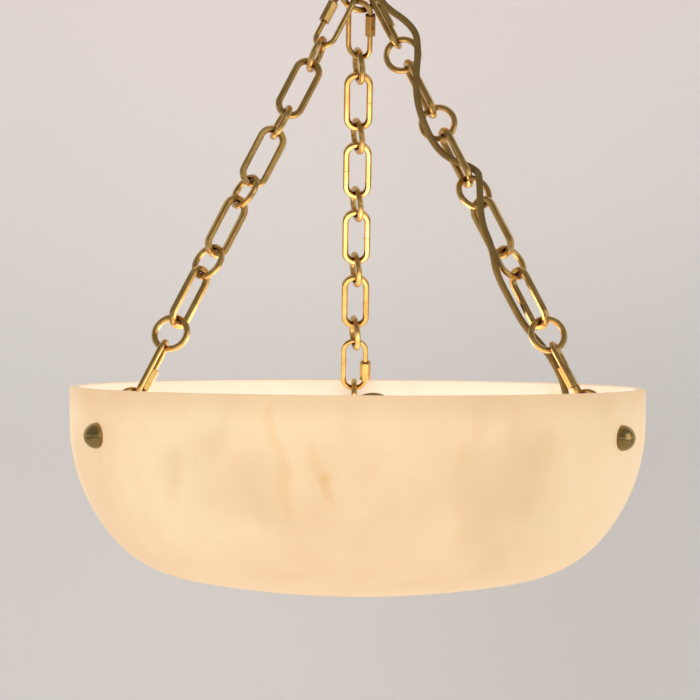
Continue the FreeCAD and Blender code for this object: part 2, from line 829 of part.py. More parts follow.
def make_hub():
    """Wiring hub under the disc, with flats for the lampholders and a stem up to the gland."""
    top = -carrier_depth - carrier_thick
    hub = Part.makeCylinder(hub_radius, hub_height, V(0, 0, top - hub_height))
    for azimuth in lamp_azimuths:
        side = Part.makeBox(hub_radius, 2 * hub_radius, 2 * hub_height,
                            V(hub_flat, -hub_radius, top - 1.5 * hub_height))
        hub = hub.cut(placed(side, outward_frame(azimuth, 0.0)))
    stem = Part.makeCylinder(hub_stem_radius, carrier_thick, V(hub_gland_x, 0, top))
    return hub.fuse(stem)


def lamp_spot(azimuth):
    """Placement on a hub flat, local Z pointing out."""
    height = rim - carrier_depth - carrier_thick - hub_height / 2
    out = polar(azimuth, 1.0, 0.0)
    turn = FreeCAD.Rotation(V(0, 0, 1), out)
    return FreeCAD.Placement(out * hub_flat + V(0, 0, height), turn)


def make_lampholder():
    """Screw lampholder, standing on its foot at local z = 0."""
    bore = bulb_cap_radius + bulb_fit
    start = lampholder_foot
    mouth = lampholder_length
    return turned([(0, 0), (lampholder_foot_radius, 0), (lampholder_foot_radius, start),
                   (lampholder_radius - lampholder_bevel, start),
                   (lampholder_radius, start + lampholder_bevel),
                   (lampholder_radius, mouth - neck_length - neck_slope),
                   (lampholder_radius - neck_step, mouth - neck_length),
                   (lampholder_radius - neck_step, mouth),
                   (bore, mouth), (bore, socket_floor), (0, socket_floor)])


def make_bulb():
    """Round bulb with its screw cap, cap end at local z = 0."""
    neck = bulb_cap_radius
    cap = bulb_cap_length
    middle = bulb_length - bulb_radius
    rise = middle - cap
    flare = (neck * neck + rise * rise - bulb_radius * bulb_radius) / (2 * (bulb_radius - neck))
    reach = bulb_radius + flare
    join = V((neck + flare) * bulb_radius / reach, 0, middle - rise * bulb_radius / reach)
    bend = 0.5 * math.asin(rise / reach)
    waist = V(neck + flare - flare * math.cos(bend), 0, cap + flare * math.sin(bend))
    edges = [
        line(V(0, 0, 0), V(neck - cap_bevel, 0, 0)),
        line(V(neck - cap_bevel, 0, 0), V(neck, 0, cap_bevel)),
        line(V(neck, 0, cap_bevel), V(neck, 0, cap)),
        arc(V(neck, 0, cap), waist, join),
        arc(join, V(bulb_radius, 0, middle), V(0, 0, bulb_length)),
        line(V(0, 0, bulb_length), V(0, 0, 0)),
    ]
    return revolved(edges, V(0, 0, 0), V(0, 0, 1))


at_rim = FreeCAD.Placement(V(0, 0, rim), FreeCAD.Rotation())
keep("lamp_carrier", placed(make_carrier(), at_rim))
keep("lamp_hub", placed(make_hub(), at_rim))
hub_gland = make_gland(0.0).mirror(V(0, 0, 0), V(0, 0, 1))
hub_gland.translate(V(hub_gland_x, 0, rim - carrier_depth))
keep("hub_gland", hub_gland)
keep("lampholders", group([placed(make_lampholder(), lamp_spot(azimuth))
                           for azimuth in lamp_azimuths]))
for number, azimuth in enumerate(lamp_azimuths, 1):
    bulb = make_bulb()
    bulb.translate(V(0, 0, socket_floor + cap_end_gap))
    keep("bulb_%d" % number, placed(bulb, lamp_spot(azimuth)))


# ---------------------------------------------------------------- cord

def cord_spine(points):
    """Straight runs joined by tangent arcs; prints each bend's radius."""
    edges = []
    start = points[0]
    radii = []
    for before, corner, after in zip(points, points[1:], points[2:]):
        enter = corner - before
        leave = after - corner
        half_turn = enter.getAngle(leave) / 2
        cut = bend_share * min(enter.Length, leave.Length)
        radius = cut / math.tan(half_turn)
        radii.append(radius)
        first = corner - enter.normalize() * cut
        last = corner + leave.normalize() * cut
        inwards = (first + last) * 0.5 - corner
        bulge = radius / math.cos(half_turn) - radius
        middle = corner + inwards.normalize() * bulge
        edges.append(line(start, first))
        edges.append(arc(first, middle, last))
        start = last
    edges.append(line(start, points[-1]))
    print("cord bend radii", [round(radius, 1) for radius in radii])
    return Part.Wire(edges)


def cord_points():
    start = V(gland_x, gland_y, -canopy_height - gland_hex - gland_nose)
    end = V(hub_gland_x, 0, rim - carrier_depth + gland_hex + gland_nose)
    spread = lip_radius / route_lip_radius
    route = [V(x * spread, y * spread, rim + height) for x, y, height in cord_route]
    return [start] + route + [end]


def make_cord():
    points = cord_points()
    spine = cord_spine(points)
    along = points[1] - points[0]
    profile = Part.Wire(Part.makeCircle(cord_radius, points[0], along))
    cord = spine.makePipeShell([profile], True, True)
    area = math.pi * cord_radius * cord_radius
    print("cord length", round(spine.Length, 1), "volume ratio",
          round(cord.Volume / (area * spine.Length), 4))
    return cord


keep("lamp_cord", make_cord())

for name, shape in parts.items():
    shape.exportStep("parts/" + name + ".step")

print("rim height", round(rim, 3))
for chain in chains:
    print(chain.side, "slack per hook", round(chain.give, 3))
print("pieces", len(parts))
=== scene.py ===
import bpy
import json
import math
import numpy as np
from mathutils import Matrix, Vector


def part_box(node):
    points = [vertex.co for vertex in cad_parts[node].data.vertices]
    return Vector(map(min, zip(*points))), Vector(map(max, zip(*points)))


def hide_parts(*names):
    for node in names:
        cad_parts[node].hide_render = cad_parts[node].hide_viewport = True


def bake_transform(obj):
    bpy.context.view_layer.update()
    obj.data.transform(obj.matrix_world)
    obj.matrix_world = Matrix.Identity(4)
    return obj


# Metres throughout, +Z up. The lamp's axis is x = y = 0, and its front looks along -Y.

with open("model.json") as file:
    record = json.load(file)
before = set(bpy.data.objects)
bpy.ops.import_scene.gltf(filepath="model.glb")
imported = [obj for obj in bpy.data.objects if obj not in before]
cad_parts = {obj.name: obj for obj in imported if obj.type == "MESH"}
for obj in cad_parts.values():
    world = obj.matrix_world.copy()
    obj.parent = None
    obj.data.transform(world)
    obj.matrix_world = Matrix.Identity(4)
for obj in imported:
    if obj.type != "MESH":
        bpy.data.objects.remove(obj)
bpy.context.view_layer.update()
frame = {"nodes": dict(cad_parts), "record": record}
nodes = frame["nodes"]
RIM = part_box("alabaster_bowl")[1].z    # height of the bowl's rim

# ---------------------------------------------------------------- camera

CAMERA_DISTANCE = 2.254                # in front of the lamp's axis
CAMERA_SIDE = -0.00698                 # to the right of it
CAMERA_ABOVE_RIM = 0.0633
CAMERA_TURN = math.radians(-0.75)      # round the lamp's axis
CAMERA_PITCH = math.radians(0.785)     # how far it looks down
CAMERA_ROLL = math.radians(0.3)        # about its line of sight
SENSOR = 36.0                          # width in millimetres
FOCAL_PIXELS = 2541.0                  # focal length in a picture of the next width
PICTURE_WIDTH = 700.0
NEAREST_SEEN = 0.05
FARTHEST_SEEN = 60.0


def make_camera():
    data = bpy.data.cameras.new("photo_camera")
    data.sensor_width = SENSOR
    data.lens = FOCAL_PIXELS / PICTURE_WIDTH * SENSOR
    data.clip_start = NEAREST_SEEN
    data.clip_end = FARTHEST_SEEN
    camera = bpy.data.objects.new("photo_camera", data)
    bpy.context.scene.collection.objects.link(camera)
    place = Matrix.Translation((CAMERA_SIDE, -CAMERA_DISTANCE, RIM + CAMERA_ABOVE_RIM))
    level = Matrix.Rotation(math.pi / 2 - CAMERA_PITCH, 4, "X")
    roll = Matrix.Rotation(CAMERA_ROLL, 4, "Z")
    camera.matrix_world = Matrix.Rotation(CAMERA_TURN, 4, "Z") @ place @ level @ roll
    bpy.context.scene.camera = camera


make_camera()

# ---------------------------------------------------------------- cord

CORD_RADIUS = 0.003
CORD_SIDES = 20                        # faces round the cord
CORD_STEP = 0.0016                     # between its rings of points
CORD_SPLIT = 0.0375                    # about how long the piece under the canopy's gland is
SPLINE_STEPS = 24                      # points that the spline gives for each control point


def gland_mouth(low, high, height):
    """Point on the axis of a gland with these corners, at a height."""
    return Vector(((low.x + high.x) / 2, (low.y + high.y) / 2, height))


canopy_gland_low, canopy_gland_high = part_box("canopy_gland")
hub_gland_low, hub_gland_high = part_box("hub_gland")
CORD_START = gland_mouth(canopy_gland_low, canopy_gland_high, canopy_gland_low.z)
CORD_END = gland_mouth(hub_gland_low, hub_gland_high, hub_gland_high.z)

# Control points from the canopy's gland to the hub's gland: across, back, and up from the rim.
CORD_ROUTE = (
    (0.0070, -0.0240, 0.3920),
    (0.0090, -0.0230, 0.3660),
    (0.0155, -0.0220, 0.3380),
    (0.0485, -0.0255, 0.3160),
    (0.0510, -0.0320, 0.2940),
    (0.0480, -0.0405, 0.2645),
    (0.0520, -0.0450, 0.2370),
    (0.0700, -0.0365, 0.2025),
    (0.1030, -0.0435, 0.1910),
    (0.1030, -0.0660, 0.1785),
    (0.1035, -0.0750, 0.1445),
    (0.1130, -0.0855, 0.1210),
    (0.1160, -0.0885, 0.1000),
    (0.1285, -0.0755, 0.0780),
    (0.1420, -0.0670, 0.0545),
    (0.1625, -0.0760, 0.0320),
    (0.1760, -0.0870, 0.0045),
    (0.1770, -0.0905, -0.0205),
    (0.1600, -0.0840, -0.0450),
    (0.1200, -0.0620, -0.0470),
    (0.0760, -0.0340, -0.0470),
    (0.0460, -0.0120, -0.0440),
    (0.0352, -0.0030, -0.0212),
    (0.0226, 0.0000, -0.0084),
    (0.0048, 0.0000, -0.0084),
    (-0.0080, 0.0000, -0.0212),
)


def cord_line():
    """Points along the smooth curve that the control points make."""
    controls = [CORD_START] + [Vector((x, y, RIM + z)) for x, y, z in CORD_ROUTE] + [CORD_END]
    curve = bpy.data.curves.new("cord_route", "CURVE")
    curve.dimensions = "3D"
    curve.resolution_u = SPLINE_STEPS
    spline = curve.splines.new("NURBS")
    spline.points.add(len(controls) - 1)
    for point, place in zip(spline.points, controls):
        point.co = (place.x, place.y, place.z, 1.0)
    spline.order_u = 3
    spline.use_endpoint_u = True
    holder = bpy.data.objects.new("cord_route", curve)
    bpy.context.scene.collection.objects.link(holder)
    bpy.context.view_layer.update()
    evaluated = holder.evaluated_get(bpy.context.evaluated_depsgraph_get())
    mesh = bpy.data.meshes.new_from_object(evaluated)
    points = [vertex.co.copy() for vertex in mesh.vertices]
    bpy.data.objects.remove(holder)
    bpy.data.curves.remove(curve)
    bpy.data.meshes.remove(mesh)
    return points


def spaced_line(points, step):
    """The same curve with points evenly spaced, about a step apart, and its length."""
    points = np.array([list(point) for point in points])
    runs = np.linalg.norm(np.diff(points, axis=0), axis=1)
    along = np.concatenate([[0.0], np.cumsum(runs)])
    at = np.linspace(0.0, along[-1], int(along[-1] / step) + 1)
    even = np.stack([np.interp(at, along, points[:, k]) for k in range(3)], axis=1)
    return [Vector(point) for point in even], float(along[-1])


def make_object(name, vertices, faces, material):
    """Smooth-shaded mesh object with one material."""
    mesh = bpy.data.meshes.new(name)
    mesh.from_pydata([tuple(v) for v in vertices], [], faces)
    mesh.validate()
    mesh.update()
    made = bpy.data.objects.new(name, mesh)
    bpy.context.scene.collection.objects.link(made)
    mesh.materials.append(material)
    mesh.polygons.foreach_set("use_smooth", [True] * len(mesh.polygons))
    return made


def tube(name, points, radius, sides, material, start_along=0.0):
    """Closed tube round a line of points. Its UV map holds turns round it and metres along it."""
    vertices, faces = [], []
    normal = (points[1] - points[0]).orthogonal().normalized()
    along = [start_along]
    for index, point in enumerate(points):
        ahead = points[min(index + 1, len(points) - 1)] - points[max(index - 1, 0)]
        ahead.normalize()
        normal = (normal - ahead * normal.dot(ahead)).normalized()
        side = ahead.cross(normal)
        if index:
            along.append(along[-1] + (point - points[index - 1]).length)
        for k in range(sides):
            angle = 2 * math.pi * k / sides
            out = normal * math.cos(angle) + side * math.sin(angle)
            vertices.append(point + out * radius)
    maps = []
    for index in range(len(points) - 1):
        for k in range(sides):
            following = (k + 1) % sides
            low, high = index * sides, (index + 1) * sides
            faces.append((low + k, low + following, high + following, high + k))
            maps.append(((k / sides, along[index]), ((k + 1) / sides, along[index]),
                         ((k + 1) / sides, along[index + 1]), (k / sides, along[index + 1])))
    last = (len(points) - 1) * sides
    faces.append(tuple(reversed(range(sides))))
    faces.append(tuple(last + k for k in range(sides)))
    for end in (along[0], along[-1]):
        maps.append(tuple((k / sides, end) for k in range(sides)))
    made = make_object(name, vertices, faces, material)
    layer = made.data.uv_layers.new(name="UVMap")
    for polygon, spots in zip(made.data.polygons, maps):
        for loop, spot in zip(polygon.loop_indices, spots):
            layer.data[loop].uv = spot
    return made


# ---------------------------------------------------------------- shader helpers

def new_material(name):
    material = bpy.data.materials.new(name)
    material.use_nodes = True
    tree = material.node_tree
    shader = tree.nodes["Principled BSDF"]
    return material, tree, shader


def join(tree, output, target):
    tree.links.new(output, target)


def feed(tree, value, socket):
    """Link a socket to an input, or set the input to a plain value."""
    if isinstance(value, bpy.types.NodeSocket):
        join(tree, value, socket)
    elif isinstance(value, tuple) and len(value) < len(socket.default_value):
        socket.default_value = value + (1.0,)
    else:
        socket.default_value = value


def noise(tree, vector, scale, detail=4.0, roughness=0.5, distortion=0.0, output="Fac"):
    made = tree.nodes.new("ShaderNodeTexNoise")
    made.inputs["Scale"].default_value = scale
    made.inputs["Detail"].default_value = detail
    made.inputs["Roughness"].default_value = roughness
    made.inputs["Distortion"].default_value = distortion
    join(tree, vector, made.inputs["Vector"])
    return made.outputs[output]


def ramp(tree, value, *stops):
    """Colour ramp of (place, colour) stops."""
    made = tree.nodes.new("ShaderNodeValToRGB")
    elements = made.color_ramp.elements
    while len(elements) < len(stops):
        elements.new(0.5)
    for element, (place, colour) in zip(elements, stops):
        element.position = place
        element.color = tuple(colour) + (1.0,)
    join(tree, value, made.inputs["Fac"])
    return made.outputs["Color"]


def mixed(tree, factor, first, second, blend="MIX"):
    """Mix of two colours; each may be a socket or a plain colour."""
    made = tree.nodes.new("ShaderNodeMix")
    made.data_type = "RGBA"
    made.blend_type = blend
    for name, value in (("Factor", factor), ("A", first), ("B", second)):
        kind = "VALUE" if name == "Factor" else "RGBA"
        feed(tree, value, [s for s in made.inputs if s.name == name and s.type == kind][0])
    return [s for s in made.outputs if s.type == "RGBA"][0]


def multiplied(tree, first, second):
    """Product of two colours."""
    return mixed(tree, 1.0, first, second, "MULTIPLY")


def maths(tree, operation, *values):
    made = tree.nodes.new("ShaderNodeMath")
    made.operation = operation
    for value, socket in zip(values, made.inputs):
        feed(tree, value, socket)
    return made.outputs[0]


def inverted(tree, mask):
    return maths(tree, "SUBTRACT", 1.0, mask)


def lifted(tree, value):
    """A value from -1 to 1, brought to 0 to 1."""
    return maths(tree, "MULTIPLY_ADD", value, 0.5, 0.5)


def vector_maths(tree, operation, first, second=None):
    made = tree.nodes.new("ShaderNodeVectorMath")
    made.operation = operation
    feed(tree, first, made.inputs[0])
    if second is not None:
        feed(tree, second, made.inputs[1])
    return made.outputs["Value" if operation in ("LENGTH", "DOT_PRODUCT") else "Vector"]


def stretched(tree, vector, stretch):
    return vector_maths(tree, "MULTIPLY", vector, stretch)


def coordinate(tree, vector, axis):
    """X, Y or Z of a vector."""
    made = tree.nodes.new("ShaderNodeSeparateXYZ")
    join(tree, vector, made.inputs["Vector"])
    return made.outputs[axis]


def eased_step(tree, value, low, high):
    """0 below low, 1 above high, and smooth between them."""
    made = tree.nodes.new("ShaderNodeMapRange")
    made.interpolation_type = "SMOOTHSTEP"
    made.inputs["From Min"].default_value = low
    made.inputs["From Max"].default_value = high
    join(tree, value, made.inputs["Value"])
    return made.outputs["Result"]


def object_vector(tree):
    return tree.nodes.new("ShaderNodeTexCoord").outputs["Object"]


def face_normal(tree):
    return tree.nodes.new("ShaderNodeNewGeometry").outputs["Normal"]


def bump(tree, height, strength, distance, normal=None):
    made = tree.nodes.new("ShaderNodeBump")
    made.inputs["Strength"].default_value = strength
    made.inputs["Distance"].default_value = distance
    join(tree, height, made.inputs["Height"])
    if normal:
        join(tree, normal, made.inputs["Normal"])
    return made.outputs["Normal"]


# Noise scales below are per metre. Stops are places in a value, each with its colour.
WHITE = (1.0, 1.0, 1.0)

# ---------------------------------------------------------------- brass

BRASS_LIGHT = (0.83, 0.55, 0.23)
BRASS_MIDDLE = (0.68, 0.43, 0.135)
BRASS_DARK = (0.47, 0.285, 0.08)
BRASS_EDGE = 0.0007                    # radius that the edges are eased to
BRASS_ROUGHNESS = (0.16, 0.28)
BOLT_LIGHT = (0.62, 0.45, 0.18)
BOLT_MIDDLE = (0.48, 0.33, 0.12)
BOLT_DARK = (0.32, 0.215, 0.07)
BOLT_EDGE = 0.0004
BOLT_ROUGHNESS = (0.18, 0.28)

LACQUER_SCALE = 55.0
LACQUER_PLACES = (0.22, 0.52, 0.80)    # dark, middle and light
CORNER_REACH = 0.009                   # how near another face darkens a corner
CORNER_STOPS = ((0.34, (0.24, 0.145, 0.075)), (0.88, WHITE))
CORNER_SAMPLES = 8
EDGE_SAMPLES = 6
EDGE_TURN = (0.90, 0.995)              # cosine of the eased normal's turn: full wear, and none
EDGE_WEAR = 0.45
GRAIN_SCALE = 420.0
GRAIN_DEPTH = 0.0002
GRAIN_STRENGTH = 0.10
GRAIN_ROUGHNESS = 0.06
SMEAR_SCALE = 70.0


def corner_shade(tree):
    """Brown shade in corners and between close pieces."""
    made = tree.nodes.new("ShaderNodeAmbientOcclusion")
    made.samples = CORNER_SAMPLES
    made.inputs["Distance"].default_value = CORNER_REACH
    return ramp(tree, made.outputs["AO"], *CORNER_STOPS)


def eased_normal(tree, radius):
    made = tree.nodes.new("ShaderNodeBevel")
    made.samples = EDGE_SAMPLES
    made.inputs["Radius"].default_value = radius
    return made.outputs["Normal"]


def make_brass(name, patches, roughness, edge):
    """Satin brass with soft lacquer clouds, darker corners and eased, polished edges."""
    material, tree, shader = new_material(name)
    shader.inputs["Metallic"].default_value = 1.0
    where = object_vector(tree)
    lacquer = noise(tree, where, LACQUER_SCALE, detail=3.0, roughness=0.6)
    colour = ramp(tree, lacquer, *zip(LACQUER_PLACES, patches))
    colour = multiplied(tree, colour, corner_shade(tree))
    eased = eased_normal(tree, edge)
    turn = vector_maths(tree, "DOT_PRODUCT", eased, face_normal(tree))
    worn = inverted(tree, eased_step(tree, turn, *EDGE_TURN))
    colour = mixed(tree, maths(tree, "MULTIPLY", worn, EDGE_WEAR), colour, patches[-1])
    join(tree, colour, shader.inputs["Base Color"])
    grain = noise(tree, where, GRAIN_SCALE, detail=4.0, roughness=0.65)
    smear = noise(tree, where, SMEAR_SCALE, detail=2.0)
    smooth, rough = roughness
    gloss = maths(tree, "MULTIPLY_ADD", smear, rough - smooth, smooth)
    gloss = maths(tree, "MULTIPLY_ADD", grain, GRAIN_ROUGHNESS, gloss)
    join(tree, gloss, shader.inputs["Roughness"])
    join(tree, bump(tree, grain, GRAIN_STRENGTH, GRAIN_DEPTH, eased), shader.inputs["Normal"])
    return material


# ---------------------------------------------------------------- alabaster

# The inner face's whiter colour and glow are the stone with painted light from the bulbs that shine on
# it.
STONE_INSIDE_WITH_PAINTED_LIGHT = (0.72, 0.62, 0.50)
STONE_OUTSIDE = (0.64, 0.48, 0.33)
GLOW_INSIDE = (0.33, 0.29, 0.23)
GLOW_OUTSIDE = (0.57, 0.415, 0.232)
OUTWARD_TURN = (-0.2, 0.2)             # cosine from the way out: inside, and outside
STONE_ROUGHNESS = 0.46

# Noise in the stone, with the height drawn out by a factor below 1.
DRIFT_SCALE = 13.0
DRIFT = (0.05, 0.05, 0.09)             # how far the noise shifts the marks' outlines
BROAD_SCALE = 6.0
BROAD_STRETCH = (1.0, 1.0, 0.65)
BROAD_STOPS = ((0.30, (0.925, 0.885, 0.85)), (0.46, (0.985, 0.975, 0.965)),
               (0.62, (1.0, 1.01, 1.03)))
STREAK_SCALE = 26.0
STREAK_STRETCH = (1.0, 1.0, 0.45)
STREAK_STOPS = ((0.30, (0.965, 0.95, 0.935)), (0.50, WHITE), (0.72, (1.005, 1.015, 1.03)))
FLECK_SCALE = 15.0
FLECK_STRETCH = (1.0, 1.0, 0.5)
FLECK_PLACES = (0.70, 0.80)            # in the noise: none, and full
FLECK_STRENGTH = 0.6
PORE_SCALE = 160.0
PORE_DEPTH = 0.0015
PORE_STRENGTH = 0.05

# Marks on the bowl's front: centre and half width and height of the darker patches and the spot, ends
# and half width of the veins, all across and up, with heights from the rim.
FRONT_DARK_PATCHES = (
    ((-0.118, -0.054), (0.034, 0.040)),
    ((-0.094, -0.072), (0.050, 0.044)),
    ((-0.144, -0.064), (0.022, 0.024)),
    ((0.112, -0.092), (0.066, 0.070)),
    ((0.132, -0.060), (0.034, 0.050)),
)
AMBER_VEINS = (
    ((-0.070, -0.014), (-0.064, -0.066), 0.0065),
    ((-0.065, -0.050), (-0.060, -0.094), 0.008),
    ((-0.040, -0.044), (-0.029, -0.070), 0.008),
    ((-0.029, -0.062), (-0.019, -0.100), 0.007),
)
AMBER_SPOT = ((-0.030, -0.066), (0.009, 0.010))
VEIN_STRENGTH = 0.42
VEIN_FADE = 1.7                        # a vein is gone at its length / 1.7 from its middle
FRONT_PLACES = (-0.14, -0.08)          # y where the marks are full, and gone
# how the darker front patches and the amber marks change the colour
DARK_PATCH_TINT = (0.905, 0.885, 0.84)
AMBER_TINT = (0.93, 0.83, 0.65)

# Painted shade: a darker band of colour and glow just under the rim.
RIM_PAINTED_SHADE = (0.90, 0.86, 0.82)
RIM_SHADE_DEPTH = 0.028                # how far under the rim its painted shade ends
# Painted light: colour and glow warmer and a little darker towards the foot.
FOOT_PAINTED_WARMTH = (0.99, 0.94, 0.90)
FOOT_DEPTHS = (0.10, 0.17)             # under the rim, where the foot's painted warmer glow starts and is full


def soft_spot(tree, where, centre, half_size):
    """Mask that fades from 1 at a centre to 0 at the half size, seen from the front."""
    x, z = centre
    off = vector_maths(tree, "SUBTRACT", where, (x, 0.0, RIM + z))
    off = stretched(tree, off, (1 / half_size[0], 0.0, 1 / half_size[1]))
    reach = vector_maths(tree, "LENGTH", off)
    return inverted(tree, eased_step(tree, reach, 0.0, 1.0))


def soft_vein(tree, where, start, end, half_width):
    """Mask along a short line, seen from the front."""
    run = Vector((end[0] - start[0], 0.0, end[1] - start[1]))
    across = Vector((run.z, 0.0, -run.x)).normalized() / half_width
    middle = ((start[0] + end[0]) / 2, 0.0, RIM + (start[1] + end[1]) / 2)
    off = vector_maths(tree, "SUBTRACT", where, middle)
    side = vector_maths(tree, "DOT_PRODUCT", off, tuple(across))
    along = vector_maths(tree, "DOT_PRODUCT", off, tuple(run * (VEIN_FADE / run.length_squared)))
    reach = maths(tree, "ADD", maths(tree, "MULTIPLY", side, side),
                  maths(tree, "MULTIPLY", along, along))
    return inverted(tree, eased_step(tree, reach, 0.0, 1.0))


def strongest(tree, masks):
    whole = masks[0]
    for mask in masks[1:]:
        whole = maths(tree, "MAXIMUM", whole, mask)
    return whole


def front_marks(tree, where, loose):
    """Masks of the darker patches and of the amber marks, on the front of the bowl alone."""
    front = inverted(tree, eased_step(tree, coordinate(tree, where, "Y"), *FRONT_PLACES))
    patches = strongest(tree, [soft_spot(tree, loose, *patch) for patch in FRONT_DARK_PATCHES])
    veins = strongest(tree, [soft_vein(tree, loose, *vein) for vein in AMBER_VEINS])
    amber = strongest(tree, [maths(tree, "MULTIPLY", veins, VEIN_STRENGTH),
                             soft_spot(tree, where, *AMBER_SPOT)])
    return maths(tree, "MULTIPLY", patches, front), maths(tree, "MULTIPLY", amber, front)


def stone_tint_and_painted_light(tree, where, loose, streaks):
    """All that changes the stone's colour from place to place, painted shade under the rim and a
    painted warmer foot among it, as one colour to multiply by.
    """
    broad = noise(tree, stretched(tree, loose, BROAD_STRETCH), BROAD_SCALE, detail=4.0, roughness=0.55)
    tone_and_painted_light = multiplied(tree, ramp(tree, broad, *BROAD_STOPS), ramp(tree, streaks, *STREAK_STOPS))
    patches, marks = front_marks(tree, where, loose)
    flecks = noise(tree, stretched(tree, loose, FLECK_STRETCH), FLECK_SCALE, detail=2.0, roughness=0.4)
    flecks = maths(tree, "MULTIPLY", eased_step(tree, flecks, *FLECK_PLACES), FLECK_STRENGTH)
    amber = maths(tree, "MAXIMUM", marks, flecks)
    depth = maths(tree, "SUBTRACT", RIM, coordinate(tree, where, "Z"))
    # painted shade under the rim
    rim = inverted(tree, eased_step(tree, depth, 0.0, RIM_SHADE_DEPTH))
    # painted light: a warmer foot
    foot = eased_step(tree, depth, *FOOT_DEPTHS)
    for mask, colour in ((patches, DARK_PATCH_TINT), (amber, AMBER_TINT), (rim, RIM_PAINTED_SHADE),
                         (foot, FOOT_PAINTED_WARMTH)):
        tone_and_painted_light = mixed(tree, mask, tone_and_painted_light, multiplied(tree, tone_and_painted_light, colour))
    return tone_and_painted_light


def outer_mask(tree, where):
    """1 on the bowl's outer face, 0 on its inner face, whose whiter colour and glow are painted light
    where the bulbs shine on it.
    """
    out = vector_maths(tree, "NORMALIZE", vector_maths(tree, "SUBTRACT", where, (0.0, 0.0, RIM)))
    return eased_step(tree, vector_maths(tree, "DOT_PRODUCT", out, face_normal(tree)), *OUTWARD_TURN)


def make_alabaster():
    """Honed stone that glows from inside, with soft random clouding, a few darker patches on its
    front, a few amber veins, painted shade under the rim, a painted warmer foot and a painted whiter
    inner face.
    """
    material, tree, shader = new_material("alabaster_glow")
    where = object_vector(tree)
    drift = noise(tree, where, DRIFT_SCALE, detail=3.0, output="Color")
    drift = vector_maths(tree, "SUBTRACT", drift, (0.5, 0.5, 0.5))
    loose = vector_maths(tree, "ADD", where, stretched(tree, drift, DRIFT))
    streaks = noise(tree, stretched(tree, loose, STREAK_STRETCH), STREAK_SCALE, detail=5.0,
                    roughness=0.6, distortion=0.4)
    tone_and_painted_light = stone_tint_and_painted_light(tree, where, loose, streaks)
    outer = outer_mask(tree, where)
    # whiter inside: painted light
    base = mixed(tree, outer, STONE_INSIDE_WITH_PAINTED_LIGHT, STONE_OUTSIDE)
    glow = mixed(tree, outer, GLOW_INSIDE, GLOW_OUTSIDE)
    join(tree, multiplied(tree, base, tone_and_painted_light), shader.inputs["Base Color"])
    join(tree, multiplied(tree, glow, tone_and_painted_light), shader.inputs["Emission Color"])
    shader.inputs["Emission Strength"].default_value = 1.0
    shader.inputs["Roughness"].default_value = STONE_ROUGHNESS
    height = mixed(tree, 0.5, streaks, noise(tree, where, PORE_SCALE, detail=3.0))
    join(tree, bump(tree, height, PORE_STRENGTH, PORE_DEPTH), shader.inputs["Normal"])
    return material


# ---------------------------------------------------------------- textile

BRAID_STRANDS = 10                     # threads of each set, round the cord
BRAID_PITCH = 0.0019                   # between threads along the cord
BRAID_DEPTH = 0.00035
BRAID_STRENGTH = 0.7
# Thread colour, darkest down in the grooves between threads: painted shade there.
THREAD_COLOUR_AND_GROOVE_SHADE = ((0.35, (0.070, 0.041, 0.009)), (0.65, (0.200, 0.120, 0.028)),
                (0.95, (0.325, 0.204, 0.058)))
WEAR_SCALE = 90.0
WEAR_STOPS = ((0.3, (0.82, 0.82, 0.82)), (0.7, (1.08, 1.08, 1.08)))
SHEEN_COLOUR = (0.85, 0.62, 0.34, 1.0)


def make_textile():
    """Braided sleeve of a lamp cord: two crossing sets of fine threads, with painted shade in the
    grooves between them.
    """
    material, tree, shader = new_material("cord_weave")
    place = tree.nodes.new("ShaderNodeUVMap")
    place.uv_map = "UVMap"
    round_cord = coordinate(tree, place.outputs["UV"], "X")
    along_cord = coordinate(tree, place.outputs["UV"], "Y")
    turns = maths(tree, "MULTIPLY", round_cord, 2 * math.pi * BRAID_STRANDS)
    run = maths(tree, "MULTIPLY", along_cord, 2 * math.pi / BRAID_PITCH)
    left = maths(tree, "SINE", maths(tree, "ADD", turns, run))
    right = maths(tree, "SINE", maths(tree, "SUBTRACT", turns, run))
    height = lifted(tree, maths(tree, "MAXIMUM", left, right))
    wear = noise(tree, object_vector(tree), WEAR_SCALE, detail=3.0)
    # painted shade: the colour darkens into the braid's grooves
    colour = multiplied(tree, ramp(tree, height, *THREAD_COLOUR_AND_GROOVE_SHADE), ramp(tree, wear, *WEAR_STOPS))
    join(tree, colour, shader.inputs["Base Color"])
    shader.inputs["Roughness"].default_value = 0.62
    shader.inputs["Specular IOR Level"].default_value = 0.18
    shader.inputs["Sheen Weight"].default_value = 0.08
    shader.inputs["Sheen Roughness"].default_value = 0.4
    shader.inputs["Sheen Tint"].default_value = SHEEN_COLOUR
    join(tree, bump(tree, height, BRAID_STRENGTH, BRAID_DEPTH), shader.inputs["Normal"])
    return material


# ---------------------------------------------------------------- paint, plate and plastic

HUB_CREAM = (0.62, 0.55, 0.40)
ZINC_GREY = (0.60, 0.60, 0.58)
HOLDER_WHITE = (0.86, 0.82, 0.74)
PAINT_CLOUD_SCALE = 40.0
PAINT_CLOUD_PLACES = (0.32, 0.68)      # dark, and light
PAINT_GRAIN_SCALE = 300.0
PAINT_GRAIN_DEPTH = 0.0002
PAINT_GRAIN_STRENGTH = 0.08
PAINT_GLOSS_RANGE = 0.12


